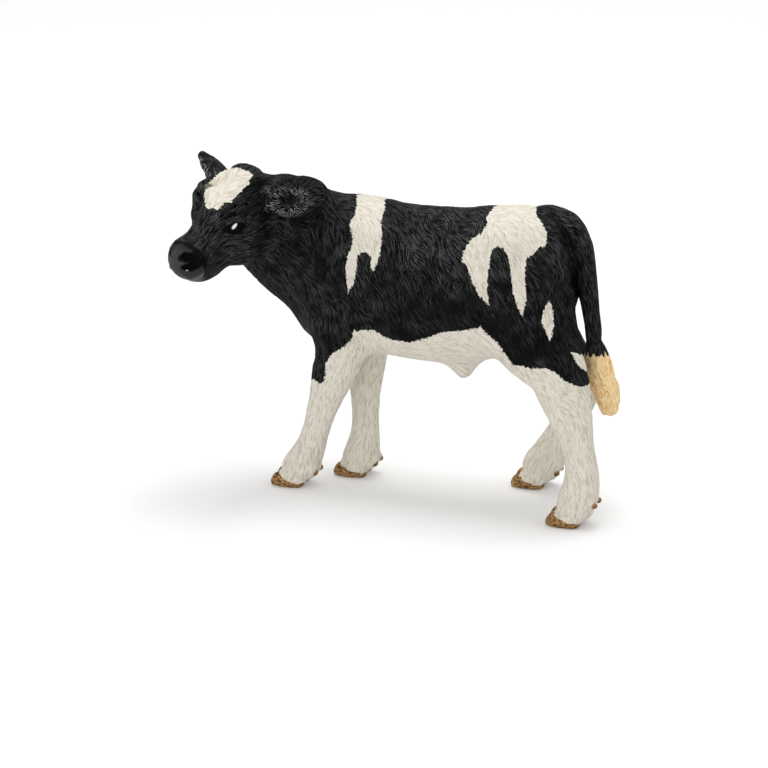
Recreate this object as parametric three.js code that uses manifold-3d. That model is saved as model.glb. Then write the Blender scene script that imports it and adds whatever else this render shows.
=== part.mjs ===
// A toy calf of solid, hand-painted PVC that stands on four hooves with its head turned to its left.
// Its form is a field of smoothly blended limbs and muscles. The skin of that field is parted into the
// pieces that are moulded by themselves: legs, head and tail plug in with a peg, and ears sit in slots.
// Millimetres, +Z up. The calf faces -X, its left side is -Y, and its hooves stand on z = 0. Until the
// last step, x is measured from the brisket.

import * as THREE from "three";
import { LoftGeometry } from "three/addons/geometries/LoftGeometry.js";
import { mergeVertices } from "three/addons/utils/BufferGeometryUtils.js";
import Module from "manifold-3d";

const { clamp, degToRad, lerp } = THREE.MathUtils;

// Trunk: belly is the height of the belly line, and a drop is measured down from the line of the back

const belly = 26.8;
const chestDepth = 29.2;
const barrelLength = 46;
const barrelHalfWidth = 10.4;

// Station by station from brisket to rump: [along, top, bottom, half width]
const barrelShares = [
  [0, 0.93, 0.15, 0.66],
  [0.14, 1, 0.03, 0.82],
  [0.3, 1, -0.004, 0.92],
  [0.45, 0.998, -0.016, 1],
  [0.6, 1.018, 0.01, 1],
  [0.74, 1.049, 0.15, 0.98],
  [0.88, 1.056, 0.23, 0.9],
  [1, 1.05, 0.3, 0.7],
];
const rumpRoundingShare = 0.25;

const brisket = { x: -1.3, rise: 5, r: 3.6 };
const hook = { fromRump: -8.6, y: 6.4, drop: 3.4, r: 3 };
const pin = { fromRump: -1.2, y: 3.6, drop: 8, r: 3 };
const navel = { alongShare: 0.592, drop: 4.1, sink: 2.5, deep: 4.3, wide: 2.4, tipR: 1.5 };
const tailHead = { fromRump: -2, drop: 0.1, r: 2.3 };
const udder = { fromRump: -9, y: 2.4, rise: 5.3, r: 2.6 };
const muscleBlendRadius = 4;

// Neck, from inside the chest up to the nape; a rise is measured from the belly line

const neckStations = [
  { x: 7, y: 0, rise: 16.2, deep: 13.4, wide: 7.8 },
  { x: -0.6, y: -0.3, rise: 18.1, deep: 12.6, wide: 7 },
  { x: -6.4, y: -0.6, rise: 21.5, deep: 11.5, wide: 6.4 },
  { x: -11, y: -1.6, rise: 24.8, deep: 10, wide: 5.8 },
  { x: -12.6, y: -3, rise: 27.4, deep: 7.4, wide: 5 },
];

// Head: its frame is placed from the end of the neck, turned and tilted, and in it the head faces -X

const head = { behind: 0.1, y: -0.4, above: 1.4, yawDegrees: 70, pitchDegrees: 19, rollDegrees: 4.4 };
const skullLength = 21.2;
const skullDepth = 13.6;
const skullHalfWidth = 5.9;

// Station by station from nape to lips: [along, top, bottom, half width]
const skullShares = [
  [0, 0.44, -0.34, 0.8],
  [0.17, 0.49, -0.47, 0.95],
  [0.34, 0.48, -0.56, 1],
  [0.5, 0.425, -0.55, 0.9],
  [0.66, 0.33, -0.5, 0.67],
  [0.82, 0.225, -0.43, 0.62],
  [1, 0.17, -0.29, 0.62],
];
const lipRoundingShare = 0.62;

// Features of the face, each placed by its shares of the skull's length, half width and depth

const brow = { placeShares: [0.43, 0.75, 0.37], r: 1.8 };
const cheek = { placeShares: [0.35, 0.525, -0.26], length: 5.4, width: 2.5, height: 4.7 };
const muzzle = { placeShares: [0.915, 0.27, 0.02], r: 2.4 };
const chin = { placeShares: [0.76, 0, -0.28], length: 5, width: 2.9, height: 3.2 };
const crown = { placeShares: [0.06, 0, 0.43], length: 3.4, width: 3.8, height: 2 };
const faceBlendRadius = 1.8;

const eye = { placeShares: [0.54, 0.62, 0.185], length: 1.4, width: 0.9, height: 1.05 };
const eyelid = { halfLength: 1.7, halfHeight: 1.2, r: 0.36, outward: 0.2 };
const nostril = { placeShares: [1.03, 0.355, 0.147], length: 1.2, width: 1, height: 0.75, turnDegrees: 35 };
const mouth = { placeShares: [0.82, 0, -0.165], length: 5.1, width: 3.7, r: 0.4 };

// Ears: each is a cupped leaf that starts at its root in the side of the head

const ear = { length: 11.8, halfWidth: 4.1, wall: 1.1, cup: 2.4 };
const earRootShares = [0.104, 0.81, 0.21];
const earPose = {
  left: { side: -1, sweepDegrees: 29, raiseDegrees: 6, rollDegrees: 24 },
  right: { side: 1, sweepDegrees: 35, raiseDegrees: 1, rollDegrees: -13 },
};

// Ring by ring from root to tip: [along, half width, cup, wall]
const earShares = [
  [-0.14, 0.36, 0.1, 1.3],
  [0.04, 0.6, 0.5, 1.3],
  [0.18, 0.86, 0.95, 1.15],
  [0.34, 0.98, 1, 1],
  [0.52, 1, 0.9, 1],
  [0.68, 0.88, 0.7, 0.95],
  [0.82, 0.66, 0.45, 0.85],
  [0.93, 0.4, 0.2, 0.7],
  [1, 0.16, 0.05, 0.5],
];

// Legs: the girths of each joint are half sizes, and its height is measured from the belly line or the
// ground. A fore leg's x is measured from the brisket and a hind leg's from the rump.

const foreGirth = {
  withers: { deep: 4.6, wide: 2.9 },
  shoulder: { deep: 6.4, wide: 3.9 },
  elbow: { deep: 5.2, wide: 3.6 },
  forearm: { deep: 3.8, wide: 3 },
  knee: { deep: 2.8, wide: 2.6 },
  cannon: { deep: 2.6, wide: 2.3 },
  fetlock: { deep: 3.1, wide: 2.8 },
  pastern: { deep: 3.5, wide: 3 },
};
const hindGirth = {
  hip: { deep: 7.6, wide: 4.2 },
  thigh: { deep: 7.9, wide: 4.4 },
  stifle: { deep: 5.9, wide: 4 },
  gaskin: { deep: 4.9, wide: 3.3 },
  hock: { deep: 4, wide: 2.8 },
  cannon: { deep: 2.9, wide: 2.5 },
  fetlock: { deep: 3.4, wide: 2.9 },
  pastern: { deep: 3.6, wide: 3.1 },
};
const foreHeights = {
  withers: belly + 23.5,
  shoulder: belly + 11.6,
  elbow: belly + 3,
  forearm: 21.6,
  knee: 15.8,
  cannon: 10.6,
  fetlock: 6.2,
  pastern: 3.4,
  dewclaw: 3.5,
};
const hindHeights = {
  hip: belly + 19,
  thigh: belly + 9.4,
  stifle: belly + 2.6,
  gaskin: 24.6,
  hock: 20.4,
  cannon: 14.2,
  fetlock: 7.8,
  pastern: 4,
  dewclaw: 5,
};
const frontLeft = {
  side: -1,
  hoofAhead: 2,
  withers: { x: 10, y: 4.6 },
  shoulder: { x: 4.4, y: 5.4 },
  elbow: { x: 4.9, y: 5.4 },
  forearm: { x: 2.75, y: 5.2 },
  knee: { x: 0.9, y: 5 },
  cannon: { x: -0.6, y: 4.8 },
  fetlock: { x: -2.2, y: 4.6 },
  pastern: { x: -3.8, y: 4.5 },
};
const frontRight = {
  side: 1,
  hoofAhead: 1.6,
  withers: { x: 10, y: 4.6 },
  shoulder: { x: 5.6, y: 5.4 },
  elbow: { x: 6.3, y: 5.4 },
  forearm: { x: 6.2, y: 5.1 },
  knee: { x: 6.3, y: 4.8 },
  cannon: { x: 6.4, y: 4.5 },
  fetlock: { x: 6.2, y: 4.3 },
  pastern: { x: 5.5, y: 4.1 },
};
const hindLeft = {
  side: -1,
  hoofAhead: 2,
  hip: { x: -7.4, y: 5.4 },
  thigh: { x: -5.2, y: 6.2 },
  stifle: { x: 1, y: 6.8 },
  gaskin: { x: 2.6, y: 7.2 },
  hock: { x: 4.1, y: 7.6 },
  cannon: { x: 5.8, y: 7.9 },
  fetlock: { x: 6.4, y: 8 },
  pastern: { x: 5.3, y: 8 },
};
const hindRight = {
  side: 1,
  hoofAhead: 2.1,
  hip: { x: -7.8, y: 5.4 },
  thigh: { x: -8.5, y: 5.6 },
  stifle: { x: -3.3, y: 6.8 },
  gaskin: { x: 0.2, y: 7.3 },
  hock: { x: 1.4, y: 7.8 },
  cannon: { x: -0.4, y: 8.2 },
  fetlock: { x: -3.5, y: 8.5 },
  pastern: { x: -6, y: 8.7 },
};
const legBlendRadius = 2.6;

// Hooves: two claws side by side, and two dewclaws behind the fetlock

const claw = { length: 7, width: 3.15, toe: 2.7, heel: 1.5, apart: 3.45 };
const dewclaw = { backShare: 0.9, apart: 3, length: 1.1, width: 0.85 };

// Ring by ring up a claw: [height, length, width, set back]
const clawShares = [
  [0, 0.9, 0.86, 0],
  [0.16, 1, 1, 0],
  [1, 0.84, 0.88, 0.06],
];
const clawExponent = 2.4;

// Tail, which leaves the rump, turns down and ends in a tuft of locks

const tailLine = [
  { fromRump: -3, drop: 1, r: 2.2 },
  { fromRump: 0.2, drop: 0.5, r: 2.3 },
  { fromRump: 3, drop: 4.5, r: 2.3 },
  { fromRump: 4, drop: 9.4, r: 2.2 },
  { fromRump: 4.75, drop: 14.6, r: 2 },
  { fromRump: 5.7, drop: 21.4, r: 1.85 },
];
const tuftLine = [
  { fromRump: 6.2, drop: 23.8, r: 2.1 },
  { fromRump: 7.5, drop: 28.6, r: 2.65 },
  { fromRump: 8.7, drop: 33, r: 2.5 },
  { fromRump: 9.3, drop: 36.1, r: 1.6 },
];
const lock = { count: 7, depth: 0.35, girthShare: 0.42, twistShare: 1 / 6 };
const tuftCoreShare = 0.7;

// Partings, pegs, clearances, and the sizes of the cells that the skin is sampled in. The neck's parting
// is placed from the end of the neck.

const gap = 0.35;
const foreParting = { drop: 0.9, x: 16 };
const hindParting = { rise: 1.2, alongShare: 0.78 };
const neckParting = { behind: 5.2, y: 1, below: 6.4, yawDegrees: 33, tiltDegrees: 15 };
const tailParting = { fromRump: 0.4, drop: 2.6 };
const legPeg = { r: 1.5, length: 5 };
const neckPeg = { r: 2, length: 5 };
const tailPeg = { r: 1, length: 4 };
const overrun = 3;
const trunkCellSize = 2.35;
const headCellSize = 1.3;
const legCellSize = 1.45;
const tailCellSize = 1.1;

// Positions that follow from the sizes above

const rumpX = barrelLength;
const backZ = belly + chestDepth;
const nape = neckStations.at(-1);
const reach = barrelLength + skullLength + chestDepth;

const wasm = await Module();
wasm.setup();

// Fields: each gives how far a point lies outside a form, and is negative inside it

const smoothMin = (a, b, radius) => {
  const share = Math.max(radius - Math.abs(a - b), 0) / radius;
  return Math.min(a, b) - (share * share * radius) / 4;
};

const blend = (fields, radius) => (p) =>
  fields.reduce((least, field) => smoothMin(least, field(p), radius), Infinity);

// How far a point, given by its offset from an ellipsoid's centre, lies outside it along that offset
const outside = (x, y, z, rx, ry, rz) => {
  const k = Math.max(Math.hypot(x / rx, y / ry, z / rz), Number.EPSILON);
  return Math.hypot(x, y, z) * (1 - 1 / k);
};

const ellipsoid = (centre, radii) => (p) =>
  outside(p.x - centre.x, p.y - centre.y, p.z - centre.z, radii.x, radii.y, radii.z);

const ball = (centre, r) => ellipsoid(centre, new THREE.Vector3(r, r, r));

const point = (x, y, z) => new THREE.Vector3(x, y, z);

// Rings that a smooth curve puts between stations
function smoothRings(stations, steps = 3) {
  const centres = new THREE.CatmullRomCurve3(stations.map((station) => station.at));
  const sizes = new THREE.CatmullRomCurve3(stations.map(({ deep, wide }) => point(deep, wide, 0)));
  const last = (stations.length - 1) * steps;
  return Array.from({ length: last + 1 }, (_, i) => ({
    at: centres.getPoint(i / last),
    deep: sizes.getPoint(i / last).x,
    wide: sizes.getPoint(i / last).y,
  }));
}

// A limb through stations. Across it is wide, and deep at right angles to that; roundingShare is
// how far its ends bulge, as a share of their half width.
function limb(stations, roundingShare = 1, across = point(0, 1, 0)) {
  const rings = smoothRings(stations);
  const spans = rings.slice(1).map((end, i) => {
    const start = rings[i];
    const along = end.at.clone().sub(start.at);
    const length = along.length();
    along.normalize();
    const side = across.clone().addScaledVector(along, -across.dot(along)).normalize();
    return { start, end, along, length, side, front: along.clone().cross(side) };
  });
  const offset = point(0, 0, 0);
  return (p) => {
    let least = Infinity;
    for (const { start, end, along, length, side, front } of spans) {
      offset.subVectors(p, start.at);
      const share = clamp(offset.dot(along) / length, 0, 1);
      offset.addScaledVector(along, -share * length);
      const wide = lerp(start.wide, end.wide, share);
      const deep = lerp(start.deep, end.deep, share);
      const away = outside(
        offset.dot(along),
        offset.dot(side),
        offset.dot(front),
        wide * roundingShare,
        wide,
        deep,
      );
      least = Math.min(least, away);
    }
    return least;
  };
}

// Skin: the surface where a field is zero

const corners = [0, 1].flatMap((x) => [0, 1].flatMap((y) => [0, 1].map((z) => [x, y, z])));

// A grid of samples of a field in a box, with the outermost layer kept outside the form
class Samples {
  constructor(field, box, cell) {
    this.field = field;
    this.cell = cell;
    this.origin = box.min;
    const size = box.getSize(point(0, 0, 0));
    this.counts = size.toArray().map((length) => Math.ceil(length / cell) + 1);
    this.steps = [1, this.counts[0], this.counts[0] * this.counts[1]];
    this.values = new Float64Array(this.counts.reduce((product, count) => product * count));
    this.forEach([0, 0, 0], [0, 0, 0], (index, place) => {
      const atEdge = place.some((n, axis) => n === 0 || n === this.counts[axis] - 1);
      const value = field(this.position(place));
      this.values[index] = atEdge ? Math.max(value, cell) : value;
    });
  }

  forEach(first, spare, visit) {
    for (let z = first[2]; z < this.counts[2] - spare[2]; z++) {
      for (let y = first[1]; y < this.counts[1] - spare[1]; y++) {
        for (let x = first[0]; x < this.counts[0] - spare[0]; x++) {
          visit(x + y * this.steps[1] + z * this.steps[2], [x, y, z]);
        }
      }
    }
  }

  position([x, y, z]) {
    return point(x, y, z).multiplyScalar(this.cell).add(this.origin);
  }

  // How far the index of a corner of a cell lies from that of its lowest corner
  offsetOf(corner) {
    return corner.reduce((total, n, axis) => total + n * this.steps[axis], 0);
  }

  // Fills samples until no two sheets of the skin can share an edge or a vertex
  mend() {
    const isInside = (index) => this.values[index] < 0;
    const fill = (indices) => {
      const least = indices
        .filter((index) => !isInside(index))
        .reduce((a, b) => (this.values[a] < this.values[b] ? a : b));
      this.values[least] = -this.cell / 20;
    };
    const diagonals = [
      [0, 7],
      [1, 6],
      [2, 5],
      [3, 4],
    ];
    for (let changed = true; changed; ) {
      changed = false;
      for (let axis = 0; axis < 3; axis++) {
        const [u, v] = [this.steps[(axis + 1) % 3], this.steps[(axis + 2) % 3]];
        const spare = [0, 1, 2].map((n) => (n === axis ? 0 : 1));
        this.forEach([0, 0, 0], spare, (index) => {
          const face = [index, index + u, index + u + v, index + v];
          const [a, b, c, d] = face.map(isInside);
          if (a === c && b === d && a !== b) {
            fill(face);
            changed = true;
          }
        });
      }
      this.forEach([0, 0, 0], [1, 1, 1], (index) => {
        const cube = corners.map((corner) => index + this.offsetOf(corner));
        const filled = cube.map(isInside);
        const count = filled.filter(Boolean).length;
        const lonelyPair = count === 2 ? true : count === 6 ? false : null;
        if (diagonals.some(([a, b]) => filled[a] === lonelyPair && filled[b] === lonelyPair)) {
          fill(cube);
          changed = true;
        }
      });
    }
  }

  // Where the skin passes through the cell whose lowest corner is given
  vertex(index, place) {
    const sum = point(0, 0, 0);
    let crossings = 0;
    for (const corner of corners) {
      for (let axis = 0; axis < 3; axis++) {
        if (corner[axis] === 1) continue;
        const start = index + this.offsetOf(corner);
        const [a, b] = [this.values[start], this.values[start + this.steps[axis]]];
        if (a < 0 === b < 0) continue;
        const at = corner.map((n, i) => place[i] + n + (i === axis ? a / (a - b) : 0));
        sum.add(this.position(at));
        crossings++;
      }
    }
    return this.settled(sum.divideScalar(crossings));
  }

  // Moves a point that lies close to the skin straight onto it
  settled(p) {
    const value = this.field(p);
    if (Math.abs(value) > this.cell / 2) return p;
    const h = this.cell / 10;
    const slope = point(
      this.field(point(p.x + h, p.y, p.z)) - this.field(point(p.x - h, p.y, p.z)),
      this.field(point(p.x, p.y + h, p.z)) - this.field(point(p.x, p.y - h, p.z)),
      this.field(point(p.x, p.y, p.z + h)) - this.field(point(p.x, p.y, p.z - h)),
    ).divideScalar(2 * h);
    return p.addScaledVector(slope, -value / Math.max(slope.lengthSq(), 1 / 2));
  }
}

// The skin of a field inside a box as a solid, with one vertex in each cell that it passes through
function skin(field, box, cell) {
  const samples = new Samples(field, box, cell);
  samples.mend();
  const vertexOf = new Map();
  const positions = [];
  samples.forEach([0, 0, 0], [1, 1, 1], (index, place) => {
    const inside = corners.filter((corner) => samples.values[index + samples.offsetOf(corner)] < 0);
    if (inside.length === 0 || inside.length === corners.length) return;
    vertexOf.set(index, positions.length);
    positions.push(samples.vertex(index, place));
  });
  const triangles = [];
  for (let axis = 0; axis < 3; axis++) {
    const [u, v] = [samples.steps[(axis + 1) % 3], samples.steps[(axis + 2) % 3]];
    const first = [0, 1, 2].map((n) => (n === axis ? 0 : 1));
    const spare = [0, 1, 2].map((n) => (n === axis ? 1 : 0));
    samples.forEach(first, spare, (index) => {
      const startsInside = samples.values[index] < 0;
      if (startsInside === samples.values[index + samples.steps[axis]] < 0) return;
      const quad = [index - u - v, index - v, index, index - u].map((cell) => vertexOf.get(cell));
      if (!startsInside) quad.reverse();
      const [a, b, c, d] = quad;
      const acrossFirst = positions[a].distanceTo(positions[c]) < positions[b].distanceTo(positions[d]);
      triangles.push(...(acrossFirst ? [a, b, c, a, c, d] : [a, b, d, b, c, d]));
    });
  }
  return new wasm.Manifold(
    new wasm.Mesh({
      numProp: 3,
      vertProperties: Float32Array.from(positions.flatMap((p) => p.toArray())),
      triVerts: Uint32Array.from(triangles),
    }),
  );
}

// Solids from three.js geometry

function solidOf(geometry) {
  const bare = new THREE.BufferGeometry();
  bare.setAttribute("position", geometry.getAttribute("position")).setIndex(geometry.index);
  const merged = mergeVertices(bare);
  return new wasm.Manifold(
    new wasm.Mesh({
      numProp: 3,
      vertProperties: Float32Array.from(merged.attributes.position.array),
      triVerts: Uint32Array.from(merged.index.array),
    }),
  );
}

const boxBetween = (x0, x1, y0, y1, z0, z1) => new THREE.Box3(point(x0, y0, z0), point(x1, y1, z1));

function boxSolid(box) {
  const size = box.getSize(point(0, 0, 0));
  const centre = box.getCenter(point(0, 0, 0));
  return solidOf(new THREE.BoxGeometry(...size).translate(...centre));
}

const join = (first, ...others) => others.reduce((sum, solid) => sum.add(solid), first);

const cut = (first, ...others) => others.reduce((rest, solid) => rest.subtract(solid), first);

// A peg that stands on a parting at a frame's origin and points along its +Z. Its foot is sunk in what
// carries it.
const pegSolid = ({ r, length }, frame, foot) =>
  solidOf(
    new THREE.CylinderGeometry(r, r, length + foot, 16)
      .rotateX(Math.PI / 2)
      .translate(0, 0, (length - foot) / 2)
      .applyMatrix4(frame),
  );

// The hole that takes that peg, wider and deeper than it by the gap
const socketSolid = ({ r, length }, frame) =>
  pegSolid({ r: r + gap, length: length + gap }, frame, overrun);

const frameAt = (position, rotation = new THREE.Euler()) =>
  new THREE.Matrix4().compose(position, new THREE.Quaternion().setFromEuler(rotation), point(1, 1, 1));

// The room that a limb takes, with some to spare
function roomRound(stations) {
  const room = new THREE.Box3();
  for (const { at, deep, wide } of stations) {
    const size = 2 * (Math.max(deep, wide) + overrun);
    room.union(new THREE.Box3().setFromCenterAndSize(at, point(size, size, size)));
  }
  return room;
}

// Forms of the body

const barrelStations = barrelShares.map(([along, top, bottom, width]) => ({
  at: point(along * barrelLength, 0, belly + (chestDepth * (top + bottom)) / 2),
  deep: (chestDepth * (top - bottom)) / 2,
  wide: barrelHalfWidth * width,
}));
const barrel = limb(barrelStations, rumpRoundingShare);

const neckRings = neckStations.map(({ x, y, rise, deep, wide }) => ({
  at: point(x, y, belly + rise),
  deep,
  wide,
}));

const navelX = navel.alongShare * barrelLength;
const navelForm = limb([
  { at: point(navelX, 0, belly + navel.sink), deep: navel.deep, wide: navel.wide },
  { at: point(navelX, 0, belly - navel.drop), deep: navel.tipR, wide: navel.tipR },
]);

const bothSides = (build) => [-1, 1].map(build);
const rumpBall = ({ fromRump, y, r }, z) =>
  bothSides((side) => ball(point(rumpX + fromRump, side * y, z), r));

const brisketForm = ball(point(brisket.x, 0, belly + brisket.rise), brisket.r);
const tailHeadForm = ball(point(rumpX + tailHead.fromRump, 0, backZ - tailHead.drop), tailHead.r);
const hookForms = rumpBall(hook, backZ - hook.drop);
const pinForms = rumpBall(pin, backZ - pin.drop);
const udderForms = rumpBall(udder, belly + udder.rise);

// A fore leg fills what lies ahead of its parting and a hind leg what lies behind it, below the trunk
const foreKind = {
  heights: foreHeights,
  girths: foreGirth,
  fromX: 0,
  pegJoint: "elbow",
  partingZ: belly - foreParting.drop,
  x0: -reach,
  x1: foreParting.x,
};
const hindKind = {
  heights: hindHeights,
  girths: hindGirth,
  fromX: rumpX,
  pegJoint: "stifle",
  partingZ: belly + hindParting.rise,
  x0: hindParting.alongShare * barrelLength,
  x1: reach,
};
const legs = {
  front_left_leg: { ...foreKind, stance: frontLeft },
  front_right_leg: { ...foreKind, stance: frontRight },
  hind_left_leg: { ...hindKind, stance: hindLeft },
  hind_right_leg: { ...hindKind, stance: hindRight },
};

const jointPlace = ({ stance, fromX }, joint, z) =>
  point(fromX + stance[joint].x, stance.side * stance[joint].y, z);

const legStations = (leg) =>
  Object.entries(leg.girths).map(([joint, girth]) => ({
    at: jointPlace(leg, joint, leg.heights[joint]),
    ...girth,
  }));
const legForms = Object.values(legs).map((leg) => limb(legStations(leg)));

// The head, in its own frame and then in the calf's

const headFrame = frameAt(
  point(nape.x + head.behind, nape.y + head.y, belly + nape.rise + head.above),
  new THREE.Euler(
    degToRad(head.rollDegrees),
    degToRad(-head.pitchDegrees),
    degToRad(head.yawDegrees),
    "ZYX",
  ),
);
const toHead = headFrame.clone().invert();

const skullStations = skullShares.map(([along, top, bottom, width]) => ({
  at: point(-along * skullLength, 0, (skullDepth * (top + bottom)) / 2),
  deep: (skullDepth * (top - bottom)) / 2,
  wide: skullHalfWidth * width,
}));

const facePlace = ([along, across, up], side = 1) =>
  point(-along * skullLength, side * across * skullHalfWidth, up * skullDepth);

const halfSizes = ({ length, width, height }) => point(length, width, height);

const faceForm = blend(
  [
    limb(skullStations, lipRoundingShare),
    ...bothSides((side) => ball(facePlace(brow.placeShares, side), brow.r)),
    ...bothSides((side) => ellipsoid(facePlace(cheek.placeShares, side), halfSizes(cheek))),
    ...bothSides((side) => ball(facePlace(muzzle.placeShares, side), muzzle.r)),
    ellipsoid(facePlace(chin.placeShares), halfSizes(chin)),
    ellipsoid(facePlace(crown.placeShares), halfSizes(crown)),
  ],
  faceBlendRadius,
);
const headForm = (p) => faceForm(p.clone().applyMatrix4(toHead));

const bodyForm = blend(
  [barrel, brisketForm, tailHeadForm, ...hookForms, ...pinForms, ...udderForms, limb(neckRings)],
  muscleBlendRadius,
);
const calfForm = blend([bodyForm, navelForm, headForm, ...legForms], legBlendRadius);

// Trunk: everything above the legs and behind the neck's parting

const neckFrame = frameAt(
  point(nape.x + neckParting.behind, nape.y + neckParting.y, belly + nape.rise - neckParting.below),
  new THREE.Euler(
    0,
    Math.PI / 2 + degToRad(neckParting.tiltDegrees),
    degToRad(neckParting.yawDegrees),
    "ZYX",
  ),
);

// Half of all space, on the +Z side of a frame's origin
const halfSpace = (frame, setback = 0) =>
  solidOf(
    new THREE.BoxGeometry(2 * reach, 2 * reach, reach)
      .translate(0, 0, reach / 2 + setback)
      .applyMatrix4(frame),
  );

const legPegFrame = (leg) => frameAt(jointPlace(leg, leg.pegJoint, leg.partingZ));

const tailFrame = frameAt(
  point(rumpX + tailParting.fromRump, 0, backZ - tailParting.drop),
  new THREE.Euler(0, -Math.PI / 2, 0),
);

function trunkSolid() {
  const room = roomRound([...barrelStations, ...neckRings]);
  room.expandByPoint(point(navelX, 0, belly - navel.drop - navel.tipR - overrun));
  return cut(
    skin(calfForm, room, trunkCellSize).intersect(halfSpace(neckFrame)),
    ...[foreKind, hindKind].map(({ x0, x1, partingZ }) =>
      boxSolid(boxBetween(x0, x1, -reach, reach, -reach, partingZ)),
    ),
    ...Object.values(legs).map((leg) => socketSolid(legPeg, legPegFrame(leg))),
    socketSolid(neckPeg, neckFrame),
    socketSolid(tailPeg, tailFrame),
  );
}

// Ears

// The crescent of one ring, from one edge over its hollow side to the other and back, grown by a clearance
function crescent([along, width, cup, wall], clearance, steps = 8) {
  const x = along * ear.length - (along < 0 ? clearance : 0);
  const places = Array.from({ length: steps + 1 }, (_, i) => 1 - (2 * i) / steps);
  const across = (t) => t * (width * ear.halfWidth + clearance);
  const inner = (t) => t * t * cup * ear.cup + clearance;
  const outer = (t) => inner(t) - ear.wall * wall * Math.sqrt(1 - t * t) - 2 * clearance;
  return [
    ...places.map((t) => point(x, across(t), inner(t))),
    ...places.slice(1, -1).map((t) => point(x, across(-t), outer(t))),
  ];
}

const earGeometry = (clearance) =>
  new LoftGeometry(
    earShares.map((shares) => crescent(shares, clearance)),
    { capStart: true, capEnd: true },
  );

// The frame of an ear in the head: +X runs to its tip and +Z out of its hollow
function earFrame({ side, sweepDegrees, raiseDegrees, rollDegrees }) {
  const [back, up] = [degToRad(sweepDegrees), degToRad(raiseDegrees)];
  const toTip = point(Math.sin(back) * Math.cos(up), side * Math.cos(back) * Math.cos(up), Math.sin(up));
  const forward = point(-1, 0, 0);
  const opening = forward.addScaledVector(toTip, -forward.dot(toTip)).normalize();
  opening.applyAxisAngle(toTip, side * degToRad(rollDegrees));
  const across = opening.clone().cross(toTip);
  return new THREE.Matrix4()
    .makeBasis(toTip, across, opening)
    .setPosition(facePlace(earRootShares, side))
    .premultiply(headFrame);
}

const earSolid = (pose, clearance = 0) => solidOf(earGeometry(clearance).applyMatrix4(earFrame(pose)));

// Head

const eyeGeometry = (side) =>
  new THREE.SphereGeometry(1, 12, 8)
    .scale(...halfSizes(eye))
    .translate(...facePlace(eye.placeShares, side));

const lidGeometry = (side) =>
  new THREE.TorusGeometry(eyelid.halfHeight, eyelid.r, 5, 16)
    .rotateX(Math.PI / 2)
    .scale(eyelid.halfLength / eyelid.halfHeight, 1, 1)
    .translate(...facePlace(eye.placeShares, side))
    .translate(0, side * eyelid.outward, 0);

const nostrilGeometry = (side) =>
  new THREE.SphereGeometry(1, 10, 6)
    .scale(...halfSizes(nostril))
    .rotateZ(side * degToRad(nostril.turnDegrees))
    .translate(...facePlace(nostril.placeShares, side));

const mouthGeometry = () =>
  new THREE.TorusGeometry(mouth.width, mouth.r, 5, 24)
    .scale(mouth.length / mouth.width, 1, 1)
    .translate(...facePlace(mouth.placeShares));

function headSolid() {
  const room = roomRound(skullStations).applyMatrix4(headFrame).union(roomRound(neckRings.slice(2)));
  const inHead = (geometry) => solidOf(geometry.applyMatrix4(headFrame));
  return cut(
    join(
      cut(skin(calfForm, room, headCellSize), halfSpace(neckFrame, -gap)),
      ...bothSides((side) => inHead(eyeGeometry(side))),
      ...bothSides((side) => inHead(lidGeometry(side))),
      pegSolid(neckPeg, neckFrame, gap + overrun),
    ),
    ...bothSides((side) => inHead(nostrilGeometry(side))),
    ...Object.values(earPose).map((pose) => earSolid(pose, gap)),
    inHead(mouthGeometry()),
  );
}

// Legs

function clawGeometry(points = 16) {
  const lean = (claw.toe - claw.heel) / claw.length;
  const rings = clawShares.map(([height, length, width, setBack]) =>
    Array.from({ length: points }, (_, i) => {
      const angle = (2 * Math.PI * i) / points;
      const round = (value) => Math.sign(value) * Math.abs(value) ** (2 / clawExponent);
      const x = (round(Math.cos(angle)) * length * claw.length) / 2 + setBack * claw.length;
      const y = (round(Math.sin(angle)) * width * claw.width) / 2;
      return point(x, y, height * ((claw.toe + claw.heel) / 2 - lean * x));
    }),
  );
  return new LoftGeometry(rings, { capStart: true, capEnd: true });
}

const dewclawGeometry = () =>
  new THREE.SphereGeometry(1, 8, 6).scale(dewclaw.width, dewclaw.width, dewclaw.length);

function legSolid(leg) {
  const { stance, heights, girths, partingZ, x0, x1 } = leg;
  const middle = stance.side * (gap / 2);
  const flank = stance.side * reach;
  const space = boxBetween(x0, x1, Math.min(middle, flank), Math.max(middle, flank), 0, partingZ);
  const room = roomRound(legStations(leg)).intersect(space.clone().expandByScalar(-gap / 2));
  room.min.z = claw.heel / 2;
  room.max.z = partingZ + legCellSize;
  const foot = jointPlace(leg, "pastern", 0);
  const pairOf = (geometry, apart, x, z) =>
    bothSides((side) => solidOf(geometry().translate(foot.x + x, foot.y + (side * apart) / 2, z)));
  return join(
    skin(calfForm, room, legCellSize).intersect(boxSolid(space.translate(point(0, 0, -gap)))),
    ...pairOf(clawGeometry, claw.apart, -stance.hoofAhead, 0),
    ...pairOf(dewclawGeometry, dewclaw.apart, girths.pastern.deep * dewclaw.backShare, heights.dewclaw),
    pegSolid(legPeg, legPegFrame(leg), gap + overrun),
  );
}

// Tail

const tailStation = ({ fromRump, drop, r }, side = 0, share = 1) => ({
  at: point(
    rumpX + fromRump + Math.cos(side) * r * (1 - share),
    Math.sin(side) * r * (1 - share),
    backZ - drop,
  ),
  deep: r * share,
  wide: r * share,
});
const tailStations = tailLine.map((station) => tailStation(station));
const tuftStations = tuftLine.map((station) => tailStation(station));

// The tuft is a bundle of locks side by side round its core, and each turns a little on its way down
function lockForm(number) {
  const angle = (turns) => (2 * Math.PI * (number + turns * lock.twistShare)) / lock.count;
  return limb(tuftLine.map((station, i) => tailStation(station, angle(i), lock.girthShare)));
}

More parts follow.
